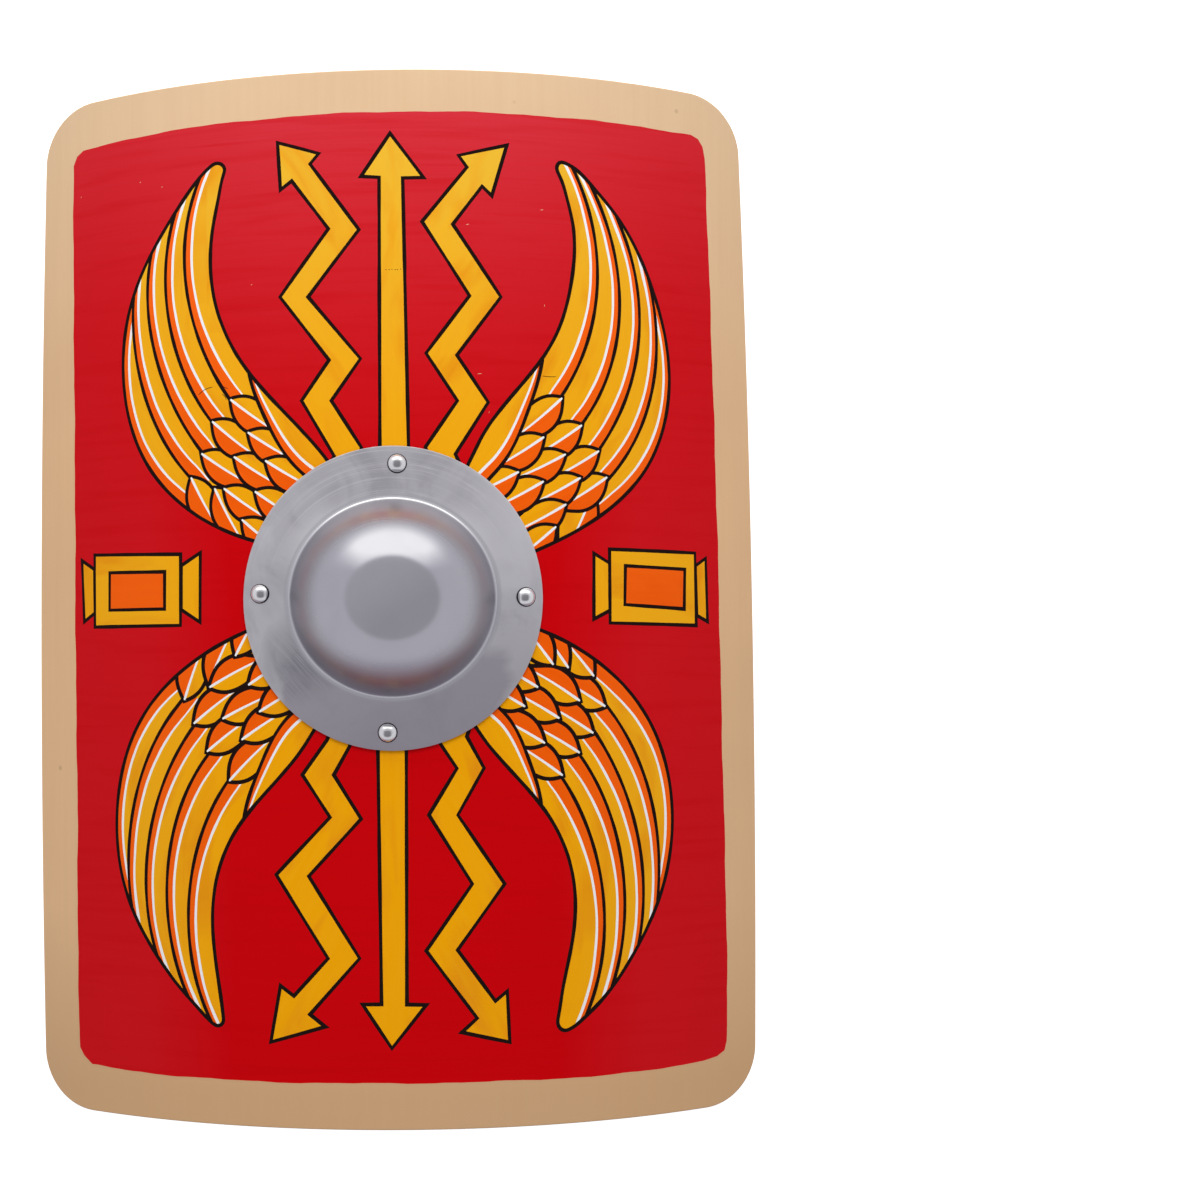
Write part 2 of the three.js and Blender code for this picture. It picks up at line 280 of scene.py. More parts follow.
# How wide the orange is in the long feathers, near their start and further on
ORANGE_SHARE = {"upper_left": (1.05, 0.85), "upper_right": (0.82, 0.70),
                "lower_left": (1.0, 0.81), "lower_right": (1.0, 0.95)}
COVERT = [(102.5, 158), (99.5, 141), (92, 120.5), (84, 102.5), (67.6, 80.4)]
WARP_AT, WARP_SCALE, MOST_SHIFT = np.array([150.0, 165.0]), 100.0, 14
# For each wing: its way across and along, how far the pattern is shifted across and along, and its rows of scales.
# A scale is its tip, the way it leans in degrees, and where they differ the fulness of its belly and of its top.
wings = {
    "upper_left": (-1, 1, [-2.65, -2.35, 4.35, -2.42, 2.51, 1.65, 0.72, 6.31, -6.15, 9.72],
                   [3.49, 1.61, -4.92, -12.79, -2.19, -2.84, 1.73, -10.66, -3.57, 3.75],
                   [[(113, 135.5, 35), (126.7, 121, 38), (135, 99, 32), (142.8, 83, 59.6, 1.05, 1.0)],
                    [(100.4, 112, 31), (110.7, 95.6, 32), (118.2, 74, 34), (124.8, 74.6, 61, 0.95, 1.3)],
                    [(88, 92, 30), (95.5, 71, 32), (105, 52, 38)]]),
    "upper_right": (1, 1, [4.02, 1.23, -3.09, -4.47, -3.62, -4.02, 0.02, -9.21, 8.06, -9.56],
                    [4.12, -10.85, 8.35, -1.0, -6.8, -0.72, -4.99, 5.32, -2.23, 0.97],
                    [[(120, 134, 39), (134.4, 115.6, 32), (147, 98, 29), (152.9, 80, 31),
                      (141.6, 69.7, 63.4, 1.0, 1.5)],
                     [(106.7, 106.7, 31), (122.2, 95, 25), (132.9, 79, 27)],
                     [(88.4, 82.2, 25), (106, 76, 27), (122, 60.4, 27)],
                     [(114.4, 45, 37)]]),
    "lower_left": (-1, -1, [0.39, 3.35, -1.07, 9.5, -2.84, 0.46, -2.28, -4.54, 24.5, -13.81],
                   [-4.49, -5.05, 4.64, 10.64, 2.13, 4.52, -3.16, 15.84, -0.2, -0.31],
                   [[(115, 128.2, 43), (131.6, 108.2, 35), (141.6, 89, 35), (148.3, 73, 67.8, 1.1, 1.0)],
                    [(106, 100, 31), (120, 85.6, 24), (129.6, 64, 26), (130, 63, 63.8, 1.0, 1.3)],
                    [(93.3, 81, 28), (101, 62.7, 30), (110, 43, 58)]]),
    "lower_right": (1, -1, [-1.71, -2.65, 0.0, -2.57, 3.97, 1.84, 1.35, 7.36, -26.35, 13.56],
                    [-3.16, 14.4, -8.24, 3.21, 6.98, -1.03, 6.13, -10.48, 5.96, -4.4],
                    [[(116.7, 126.2, 33), (129.3, 111, 29), (139.6, 97.8, 30), (148.9, 79.6, 29)],
                     [(104.4, 104, 28), (115, 87.3, 28.5), (130, 75.6, 31), (140.5, 59, 47.7, 1.0, 1.2)],
                     [(90.7, 79, 28), (100, 66, 28), (121.8, 53.3, 52)],
                     [(111, 51, 50)]]),
}
SCALE_FROM_TIP = [0, 3, 7, 12, 18, 24, 30, 36, 41, 50]
SCALE_BELLY = [0, 3.2, 6.9, 10.0, 11.8, 12.0, 10.6, 7.2, 4.0, 0.8]
SCALE_TOP = [0, 3.3, 6.6, 9.0, 10.1, 10.1, 9.2, 7.8, 6.2, 4.0]
SCALE_LENGTH, SCALE_SAG = SCALE_FROM_TIP[-1], 0.9
# The lines round the scales are a little bolder in the two lower wings
SCALE_LINE = {1: 1.22, -1: 1.40}


def laid(points, wing):
    """Points of the wing's pattern, where one of the four wings has them."""
    across_way, along_way, by_across, by_along, _ = wings[wing]
    p = np.asarray(points, float)
    x, y = ((p - WARP_AT) / WARP_SCALE).T
    terms = np.stack([np.ones_like(x), x, y, x * x, x * y, y * y, y ** 3, x * y * y, x * x * y, x ** 3], -1)
    shift = np.clip(terms @ np.array([by_across, by_along]).T, -MOST_SHIFT, MOST_SHIFT)
    return (p + shift) * [across_way, along_way]


def scale_outline(tip, lean, girth=1.0, top_girth=1.0):
    """A leaf-shaped small feather, for the upper right quarter: the line of its belly, of its top, and its middle."""
    back = -towards(lean)
    belly = np.array([-back[1], back[0]])
    s = SCALE_LENGTH * np.linspace(0, 1, 22) ** 1.35
    below, above = (curve(list(zip(SCALE_FROM_TIP, part)), 1.5) for part in (SCALE_BELLY, SCALE_TOP))
    spine = np.array(tip) + back * s[:, None]
    return (spine + belly * (girth * np.interp(s, *below.T))[:, None],
            spine - belly * (top_girth * np.interp(s, *above.T))[:, None],
            spine + belly * (SCALE_SAG * np.sin(s / SCALE_LENGTH * math.pi))[:, None])


def longer(line, at_start, at_end):
    """The line, run on straight at each end."""
    a, b = line[0] - line[2], line[-1] - line[-3]
    a, b = a / np.hypot(*a), b / np.hypot(*b)
    start = [line[0] + a * d for d in np.arange(at_start, 0.5, -5)]
    end = [line[-1] + b * d for d in np.arange(5, at_end + 0.5, 5)]
    return np.vstack([np.array(start).reshape(-1, 2), line, np.array(end).reshape(-1, 2)])


def wing(name):
    across_way, along_way, _, _, rows = wings[name]
    side = [across_way, along_way]
    turn = across_way * along_way
    seed = 3 + list(wings).index(name) * 5
    outer = longer(curve(laid(curve(OUTER, 20), name)), 0, 20)
    inner, tip = laid(INNER[2:], name), np.array(WING_TIPS[name]) * side
    contour = longer(curve(np.vstack([inner[::-1], tip, laid(OUTER[2:], name)]), 1.8), 30, 20)

    def feather(line, far, near, mid):
        """The yellow up to the feather's line, then the white line and the orange band along its inner side."""
        paint(np.vstack([line, np.array(far) * side]), YELLOW, inside=contour, way=line, drawn=line)
        for finish, start, end in ((WHITE, -near, mid), (ORANGE, 0 * near, near)):
            paint(ribbon(line, *((start, end) if turn < 0 else (end, start))), finish, inside=contour, way=line)

    paint(grown(contour, LINE / 2 + 0.05), BLACK)
    # the long feathers, from the outermost inwards, each over the one before
    for k in range(len(FEATHERS), -1, -1):
        outermost = k == len(FEATHERS)
        line = outer if outermost else longer(curve(laid(curve(FEATHERS[k], 16), name)), 30, 15)
        s = lengths(line)
        begin, end = (95, s[-1] * 0.76) if outermost else (30, s[-1] - 15)
        t = np.clip((s - begin) / (end - begin), 0, 1)
        band = (2.6 + 5.4 * t ** 2.2 + (0.0 if outermost else 0.5)) * (0.6 + 0.4 * np.clip(t * 4, 0, 1)) \
            * (1 + hand(line, 0.03, seed + k)) * np.interp(t, (0.1, 0.6), ORANGE_SHARE[name])
        white = (1.85 + 0.35 * np.clip(1 - t * 9, 0, 1)) * (1 + hand(line, 0.10, seed + k + 9)) \
            * (1 - 0.35 * np.clip((t - 0.8) / 0.2, 0, 1))
        feather(line, [(60, 60), (60, 330)], band + LINE / 2, band + LINE / 2 + white)
        if not outermost:
            paint(stroke(line, LINE, seed + k), BLACK, inside=contour)
    # the scales, row by row towards the boss
    scale_line = SCALE_LINE[along_way]
    for row in rows:
        for x, y, *leaf in reversed(row):
            belly, top, middle = (part * side for part in scale_outline((x, y), *leaf))
            loop = np.vstack([belly, top[::-1][1:-1]])
            within = grown(loop, -scale_line)
            paint(grown(loop, scale_line), BLACK, inside=contour)
            paint(within, YELLOW, inside=contour, way=middle)
            paint(np.vstack([within[:len(belly)], middle[::-1][:-1]]), ORANGE, inside=contour, way=middle)
            n = len(middle)
            w = np.interp(np.arange(n), [0, 2, 4, n - 1], [0.3, 0.8, 0.95, 0.5])[1:]
            paint(ribbon(middle[1:], w, w), WHITE, inside=contour)
    # the covert along the inner edge, over the scales
    line = longer(curve(laid(curve(COVERT, 12), name)), 0, 15)
    t = lengths(line) / lengths(line)[-1]
    near = LINE / 2 + 0.3 + 5.4 * t ** 0.9
    feather(line, [(40, 80), (60, 175), (104, 170)], near, near + 0.7 + 1.4 * np.sqrt(t))
    paint(stroke(line, LINE, seed + 7), BLACK, inside=contour)
    paint(stroke(contour, LINE + 0.1, seed + 8, 1.0), BLACK)


for name in wings:
    wing(name)

# Wear: small chips to the wood in the red, each with its reach and the way it runs, thin dark scratches in the
# yellow, and a row of dark dots across the upper arrow
CHIPS = [(-182.6, 294.9, 1.6, 40), (-164.7, 289.3, 1.2, 80), (53.8, 252.0, 2.6, 15), (107.5, 197.4, 1.8, 95),
         (61.1, 148.9, 3.2, 5), (-236.2, 292.0, 1.6, 60), (106.5, 264.0, 2.4, 10), (-96.5, 214.0, 1.4, 30),
         (67.4, 122.5, 1.5, 70)]
SCRATCHES = [[(-136.5, 139.5), (-131.4, 143.0), (-125.5, 144.5)], [(-119.5, 147.3), (-117.8, 144.4), (-114.0, 142.6)],
             [(-118.8, 139.2), (-116.5, 137.4), (-115.4, 134.6)], [(105.0, 148.3), (110.1, 147.9), (115.5, 148.1)]]
DOTS, DOTS_ALONG = (-2.4, -0.2, 1.7, 3.9, 5.4, 7.7), 220.7
for n, (u, v, reach, way) in enumerate(CHIPS):
    paint(stroke(np.array([u, v]) + towards(way) * np.linspace(-reach, reach, 4)[:, None] * 0.45, 0.42, n, 0.3), PLY)
for n, knots in enumerate(SCRATCHES):
    paint(stroke(curve(knots, 1.5), 0.45, n, 0.3), BLACK)
for u in DOTS:
    paint(ellipse(u, DOTS_ALONG + 0.2 * math.sin(u), 0.42, 0.32, 8), BLACK)


# ---------------------------------------------------------------- the board's mesh
def holds(outline, points):
    """Which points lie in a closed outline, by its winding number."""
    inside = np.zeros(len(points), bool)
    low, high = outline.min(0), outline.max(0)
    near = np.nonzero(((points > low) & (points < high)).all(1))[0]
    if not len(near):
        return inside
    a, b = outline, np.roll(outline, -1, 0)
    for block in np.array_split(near, max(1, len(near) // 4000)):
        p = points[block]
        up = (a[:, 1] <= p[:, 1, None]) & (b[:, 1] > p[:, 1, None])
        down = (a[:, 1] > p[:, 1, None]) & (b[:, 1] <= p[:, 1, None])
        cross = (b[:, 0] - a[:, 0]) * (p[:, 1, None] - a[:, 1]) - (p[:, 0, None] - a[:, 0]) * (b[:, 1] - a[:, 1])
        inside[block] = ((up & (cross > 0)).sum(1) - (down & (cross < 0)).sum(1)) != 0
    return inside


RIVET_PLACES = [(RIVET_RING * towards(t) + [0, BOSS_OFFSET]).tolist() for t in RIVETS.values()]
hand_hole = ellipse(0, BOSS_OFFSET, HAND_HOLE_RADIUS, HAND_HOLE_RADIUS, 72)
hand_hole[:, 0] = BOARD_RADIUS * np.arcsin(hand_hole[:, 0] / BOARD_RADIUS)
holes = [hand_hole] + [ellipse(u, v, RIVET_HOLE_RADIUS, RIVET_HOLE_RADIUS, 20) for u, v in RIVET_PLACES]


def on_board(points, outline, gap=0.0):
    """Which points lie inside an outline and outside the holes, clear of each by a gap."""
    on = holds(grown(outline, -gap), points)
    for hole in holes:
        on &= ~holds(grown(hole, gap), points)
    return on


UNDER_BOSS = 97.0  # lines nearer the boss's middle than this are hidden by it, and are left out
STRIPS_REACH = 270


def spot(p):
    """A place on the sheet, rounded, so that lines that meet share a point."""
    return round(float(p[0]), 2), round(float(p[1]), 2)


class Sheet:
    """Points and lines for one flat triangulation."""

    def __init__(self):
        self.points, self.index, self.edges = [], {}, []

    def add(self, p):
        key = spot(p)
        if key not in self.index:
            self.index[key] = len(self.points)
            self.points.append(Vector(key))
        return self.index[key]

    def line(self, points, closed):
        ids = [self.add(p) for p in points]
        pairs = list(zip(ids, ids[1:])) + ([(ids[-1], ids[0])] if closed else [])
        self.edges += [e for e in pairs if e[0] != e[1]]

    def strips(self, outline, gap):
        """Lines up the board, so that the bend is smooth, stopped short of every edge."""
        for u in np.arange(-STRIPS_REACH, STRIPS_REACH + 1, STRIP):
            v = np.arange(-HALF_HEIGHT, HALF_HEIGHT + 0.1, 1.0)
            at = np.stack([np.full(len(v), float(u)), v], -1)
            runs = np.flatnonzero(np.diff(np.concatenate([[0], on_board(at, outline, gap).astype(int), [0]])))
            for a, b in zip(runs[::2], runs[1::2]):
                if b - a > 3:
                    self.line([at[a], at[b - 1]], False)

    def cut(self, outline):
        """The points and the triangles inside an outline and outside the holes."""
        found = delaunay_2d_cdt(self.points, self.edges, [], 0, 1e-4)
        points, faces = np.array([v[:] for v in found[0]]), np.array([f[:] for f in found[2]])
        return points, faces[on_board(points[faces].mean(1), outline)]


# The front, cut along every painted edge; each triangle gets the last coat that was laid over it
front = Sheet()
for loop in [FACE_OUTLINE] + holes:
    front.line(loop, True)
front.strips(FACE_OUTLINE, 1.5)
for outline, _, _, _, drawn in painted:
    line = np.vstack([outline, outline[:1]]) if drawn is None else drawn
    hidden = np.hypot(line[:, 0], line[:, 1] - BOSS_OFFSET) < UNDER_BOSS
    for i in np.flatnonzero(~(hidden[:-1] & hidden[1:])):
        front.line(line[i:i + 2], False)
points, faces = front.cut(FACE_OUTLINE)
middles = points[faces].mean(1)
finish_of = np.full(len(faces), PLY)
coat_of = np.full(len(faces), -1)
in_contour = {}
for i, (outline, finish, inside, _, _) in enumerate(painted):
    got = holds(outline, middles)
    if inside is not None:
        if id(inside) not in in_contour:
            in_contour[id(inside)] = holds(inside, middles)
        got &= in_contour[id(inside)]
    finish_of[got] = finish
    coat_of[got] = i


def upright(at):
    """The way out of the bent board's face, at places on the sheet."""
    a = at[:, 0] / BOARD_RADIUS
    return np.stack([np.sin(a), 0 * a, np.cos(a)], -1)


def bent(at, height):
    """Places on the flat sheet, at a height above its face, on the bent board, in metres."""
    u, v = at.T
    r = BOARD_RADIUS + height
    x, z = r * np.sin(u / BOARD_RADIUS), r * np.cos(u / BOARD_RADIUS) - REST_LEVEL
    return np.stack([x, v, np.maximum(z, 0)], -1) * MM


def brushed(p, way):
    """Where points lie along and across the brush's way, in millimetres."""
    if np.ndim(way) == 0:
        x, y = towards(way)
        return np.stack([p @ [x, y], p @ [-y, x]], -1)
    s = lengths(way)
    a, d = way[:-1], np.diff(way, axis=0)
    size = np.maximum((d ** 2).sum(1), 1e-9)
    t = np.clip(((p[:, None] - a) * d).sum(-1) / size, 0, 1)
    gap = p[:, None] - a - t[..., None] * d
    i = np.argmin((gap ** 2).sum(-1), 1)
    k = np.arange(len(p))
    side = np.sign(d[i, 0] * gap[k, i, 1] - d[i, 1] * gap[k, i, 0])
    return np.stack([s[i] + t[k, i] * np.sqrt(size[i]), side * np.hypot(*gap[k, i].T)], -1)


def loops_of(faces):
    """The closed lines round a triangulation's edges, with the faces on the left."""
    pairs = {}
    for f in faces:
        for a, b in ((f[0], f[1]), (f[1], f[2]), (f[2], f[0])):
            pairs[(a, b)] = True
    after = {a: b for a, b in pairs if (b, a) not in pairs}
    found = []
    while after:
        start, b = next(iter(after.items()))
        loop = [start]
        while b != start:
            loop.append(b)
            b = after.pop(b)
        after.pop(start, None)
        found.append(loop)
    return found


verts = [bent(points, 0.0)]
vert_normals = [upright(points)]
all_faces = faces.tolist()
all_finish = finish_of.tolist()

# The brush's way, written as a UV map: a place along it and a place across it, apart for each coat
corner = points[faces]
uv = np.zeros((len(faces), 3, 2))
for i in sorted(set(coat_of.tolist())):
    pick = np.nonzero(coat_of == i)[0]
    way = painted[i][3] if i >= 0 else 0.0
    uv[pick] = brushed(corner[pick].reshape(-1, 2), way).reshape(-1, 3, 2) + [37.0 * (i + 1), 19.0 * (i + 1)]
brush_uv = uv.reshape(-1, 2).tolist()

# The walls: rings from the front round to the back, with a rounded arris at the rim
ARC, RIM_POINTS, HOLE_ARRIS = 3, 150, 0.5
count = len(points)
back_sheet = Sheet()
back_rings = []
for loop in loops_of(faces):
    flat, n = points[loop], len(loop)
    out = normals(flat, True)
    length = lengths(np.vstack([flat, flat[:1]]))
    is_rim = n > RIM_POINTS
    radius = ARRIS if is_rim else HOLE_ARRIS
    ids, heights = [np.array(loop)], [0.0]
    for i, middle_of_arc in [(i, -radius) for i in range(1, ARC + 1)] + \
            [(i, radius - BOARD_THICKNESS) for i in range(ARC, 2 * ARC + 1)]:
        a = math.pi / 2 * i / ARC
        at = flat + out * (radius * math.sin(a) if is_rim else 0.0)
        heights.append(middle_of_arc + radius * math.cos(a))
        verts.append(bent(at, heights[-1]))
        up = upright(at)
        aside = np.stack([up[:, 2] * out[:, 0], out[:, 1], -up[:, 0] * out[:, 0]], -1)
        aside = aside / np.linalg.norm(aside, axis=1)[:, None]
        vert_normals.append(up * math.cos(a) + aside * math.sin(a))
        ids.append(np.arange(count, count + n))
        count += n
    for k in range(len(ids) - 1):
        for i in range(n):
            j = (i + 1) % n
            all_faces.append([int(ids[k][i]), int(ids[k + 1][i]), int(ids[k + 1][j]), int(ids[k][j])])
            all_finish.append(EDGE if 1 <= k <= 2 * ARC - 1 else PLY)
            la, lb = length[i], length[i + 1]
            brush_uv += [[la, heights[k]], [la, heights[k + 1]], [lb, heights[k + 1]], [lb, heights[k]]]
    back_rings.append((at, ids[-1]))
    back_sheet.line(at, True)

# The back, sewn to the walls' last rings
back_outline = max((ring for ring, _ in back_rings), key=len)
back_sheet.strips(back_outline, 2.0)
back_points, back_faces = back_sheet.cut(back_outline)
same = {spot(p): int(i) for ring, ids in back_rings for p, i in zip(ring, ids)}
index, new = [], []
for p in back_points:
    if spot(p) not in same:
        new.append(p)
    index.append(same.get(spot(p), count + len(new) - 1))
verts.append(bent(np.array(new), -BOARD_THICKNESS))
vert_normals.append(-upright(np.array(new)))
for f in back_faces:
    all_faces.append([index[i] for i in f[::-1]])
    all_finish.append(PLY)
    brush_uv += back_points[f[::-1]].tolist()


def placed(name, data):
    """An object in the scene for a mesh, a lamp or a camera."""
    ob = bpy.data.objects.new(name, data)
    bpy.context.scene.collection.objects.link(ob)
    return ob


board_mesh = bpy.data.meshes.new("board_painted")
board_mesh.from_pydata(np.vstack(verts).tolist(), [], all_faces)
board_mesh.polygons.foreach_set("use_smooth", [True] * len(all_faces))
board_mesh.polygons.foreach_set("material_index", all_finish)
layer = board_mesh.uv_layers.new(name="brush")
layer.data.foreach_set("uv", (np.array(brush_uv) * MM).ravel().astype(np.float32))
board_mesh.normals_split_custom_set_from_vertices(np.vstack(vert_normals).tolist())
board_mesh.validate()
board = placed("board_painted", board_mesh)


# ---------------------------------------------------------------- steel and grip
def made(name, bm, sharp):
    """A piece from a finished bmesh, smooth but for edges sharper than an angle in degrees."""
    bmesh.ops.recalc_face_normals(bm, faces=bm.faces)
    mesh = bpy.data.meshes.new(name)
    bm.to_mesh(mesh)
    bm.free()
    for p in mesh.polygons:
        p.use_smooth = True
    mesh.set_sharp_from_angle(angle=math.radians(sharp))
    return placed(name, mesh)


def turned(name, profile, segments, place, sharp):
    """A round piece: a profile of (radius, height) in millimetres, spun about Z, then put in place point by point."""
    bm = bmesh.new()
    ring = [bm.verts.new((r * MM, 0, z * MM)) for r, z in profile]
    edges = [bm.edges.new((a, b)) for a, b in zip(ring, ring[1:])]
    bmesh.ops.spin(bm, geom=ring + edges, cent=(0, 0, 0), axis=(0, 0, 1), angle=math.tau, steps=segments,
                   use_merge=True, use_duplicate=False)
    bmesh.ops.remove_doubles(bm, verts=bm.verts, dist=1e-6)
    for v in bm.verts:
        v.co = Vector(place(v.co / MM)) * MM
    return made(name, bm, sharp)


DOME_STEPS, FILLET_STEPS, FLANGE_STEPS, EDGE_STEPS, BOSS_SEGMENTS = 34, 8, 12, 8, 160
EDGE_ROUND = 0.6


def steel_face(inset):
    """The pressed sheet's outer face (inset 0) or inner face, from the top of the dome to near the flange's edge."""
    sphere = (DOME_RADIUS ** 2 + DOME_HEIGHT ** 2) / (2 * DOME_HEIGHT)
    centre = FLANGE_TOP + DOME_HEIGHT - sphere
    fillet_height = FLANGE_TOP + DOME_FILLET
    fillet_radius = math.sqrt((sphere + DOME_FILLET) ** 2 - (fillet_height - centre) ** 2)
    lean = math.atan2(fillet_radius, fillet_height - centre)
    outer, hollow = sphere - inset, DOME_FILLET + inset
    dome = [lean * i / DOME_STEPS for i in range(DOME_STEPS + 1)]
    fillet = [lean * (1 - i / FILLET_STEPS) for i in range(1, FILLET_STEPS + 1)]
    run = FLANGE_RADIUS - EDGE_ROUND - fillet_radius
    return [(outer * math.sin(a), centre + outer * math.cos(a)) for a in dome] \
        + [(fillet_radius - hollow * math.sin(a), fillet_height - hollow * math.cos(a)) for a in fillet] \
        + [(fillet_radius + run * i / FLANGE_STEPS, FLANGE_TOP - inset) for i in range(1, FLANGE_STEPS + 1)]


def pressed(p):
    """A point of the round boss, where the widened dome and the bent flange have it."""
    radius = math.hypot(p.x, p.y)
    share = min(1, max(0, (FLANGE_RADIUS - radius) / FLANGE_WIDTH))
    angle = p.x * (1 + share * (DOME_WIDENING - 1)) / BOARD_RADIUS
    return BOARD_RADIUS * math.sin(angle), p.y + BOSS_OFFSET, p.z + BOARD_RADIUS * math.cos(angle) - REST_LEVEL


flange_edge = [(FLANGE_RADIUS + EDGE_ROUND * (math.sin(a) - 1), FLANGE_TOP + EDGE_ROUND * (math.cos(a) - 1))
               for a in (math.pi * i / EDGE_STEPS for i in range(1, EDGE_STEPS))]
boss = turned("boss_steel_dome", steel_face(0) + flange_edge + steel_face(STEEL)[::-1], BOSS_SEGMENTS, pressed, 40)

RIVET_RADIUS, RIVET_HEIGHT, RIVET_STEPS = 6.75, 4.1, 18
RIVET_BASE = FLANGE_TOP + 0.3
TONGUE_THICKNESS = 14.0


def rivet_profile(gripped):
    """Half a rivet's outline: its head, its shank and the spread tail behind the board and what it grips there."""
    sphere = (RIVET_RADIUS ** 2 + RIVET_HEIGHT ** 2) / (2 * RIVET_HEIGHT)
    lean = math.asin(RIVET_RADIUS / sphere)
    crown = RIVET_BASE + RIVET_HEIGHT
    line = [(sphere * math.sin(a), crown - sphere * (1 - math.cos(a)))
            for a in (lean * i / RIVET_STEPS for i in range(RIVET_STEPS + 1))]
    seat, tail = RIVET_BASE - 0.15, -BOARD_THICKNESS - gripped - 0.3
    return line + [(RIVET_RADIUS - 0.25, seat), (2.5, seat), (2.5, tail), (4.1, tail), (4.5, tail - 0.35),
                   (4.35, tail - 1.1), (3.6, tail - 1.75), (2.2, tail - 1.98), (0, tail - 2.0)]


rivets = {}
for name, (across, along) in zip(RIVETS, RIVET_PLACES):
    def stand(p, angle=across / BOARD_RADIUS, along=along):
        r = BOARD_RADIUS + p.z
        return (p.x * math.cos(angle) + r * math.sin(angle), p.y + along,
                -p.x * math.sin(angle) + r * math.cos(angle) - REST_LEVEL)

    through_tongue = abs(along - BOSS_OFFSET) < GRIP_WIDTH / 2
    gripped = TONGUE_THICKNESS + SEAT_GAP if through_tongue else 0
    rivets[name] = turned(name + "_head", rivet_profile(gripped), 40, stand, 50)

# The grip: a bar with rounded edges, bedded on the board's back, its ends thinned to tongues.
# Its levels are heights above the middle of the board's bend.
GRIP_HALF, GRIP_EDGE, GRIP_BACK, GRIP_FRONT = RIVET_RING + 13.0, 7.6, 398.0, 420.0
GRIP_STATIONS, CORNER_POINTS = 34, 7
TONGUE_FROM, TONGUE_RUN = 67, 6.0
BED = BOARD_RADIUS - BOARD_THICKNESS - SEAT_GAP


def grip_levels(x):
    """The bar's back and front, at a place along it."""
    front = min(GRIP_FRONT, math.sqrt(BED ** 2 - x * x))
    tongue = math.sqrt((BED - TONGUE_THICKNESS) ** 2 - x * x)
    t = min(1, max(0, (abs(x) - TONGUE_FROM) / TONGUE_RUN))
    t = t * t * (3 - 2 * t)
    return GRIP_BACK + (max(tongue, GRIP_BACK) - GRIP_BACK) * t, front


def grip_section(x):
    """The points round the bar at a place along it, drawn in a little at its two ends."""
    low, high = grip_levels(x)
    end = min(1.0, (GRIP_HALF - abs(x)) / 2.0)
    shrink = 1.6 * (1 - math.sqrt(max(0.0, 1 - (1 - end) ** 2)))
    low, high, half = low + shrink, high - shrink * 0.2, GRIP_WIDTH / 2 - shrink
    edge = min(GRIP_EDGE, (high - low) / 2 - 0.5) - shrink * 0.5
    section = []
    for quarter, (y, z) in enumerate(((half - edge, high - edge), (edge - half, high - edge),
                                      (edge - half, low + edge), (half - edge, low + edge))):
        for i in range(CORNER_POINTS):
            a = math.radians(90 * quarter + 90 * i / (CORNER_POINTS - 1))
            section.append(Vector((x, y + edge * math.cos(a) + BOSS_OFFSET, z + edge * math.sin(a) - REST_LEVEL)) * MM)
    return section


stations = [GRIP_HALF * math.sin(math.pi / 2 * i / GRIP_STATIONS) for i in range(-GRIP_STATIONS, GRIP_STATIONS + 1)]
bm = bmesh.new()
ring = [bm.verts.new(p) for p in grip_section(stations[0])]
edges = [bm.edges.new((a, b)) for a, b in zip(ring, ring[1:] + ring[:1])]
bmesh.ops.contextual_create(bm, geom=edges)
for x in stations[1:]:
    drawn_out = bmesh.ops.extrude_edge_only(bm, edges=edges)["geom"]
    edges = [g for g in drawn_out if isinstance(g, bmesh.types.BMEdge)]
    after = {e.other_vert(v): v for v in drawn_out if isinstance(v, bmesh.types.BMVert) for e in v.link_edges}
    ring = [after[v] for v in ring]
    for v, p in zip(ring, grip_section(x)):
        v.co = p
bmesh.ops.contextual_create(bm, geom=edges)
grip = made("grip_bar", bm, 45)


# ---------------------------------------------------------------- materials
def linear(*colour):
    """A colour as it is seen, 0 to 255, as light."""
    return tuple(c / 255 / 12.92 if c / 255 <= 0.04045 else ((c / 255 + 0.055) / 1.055) ** 2.4 for c in colour)


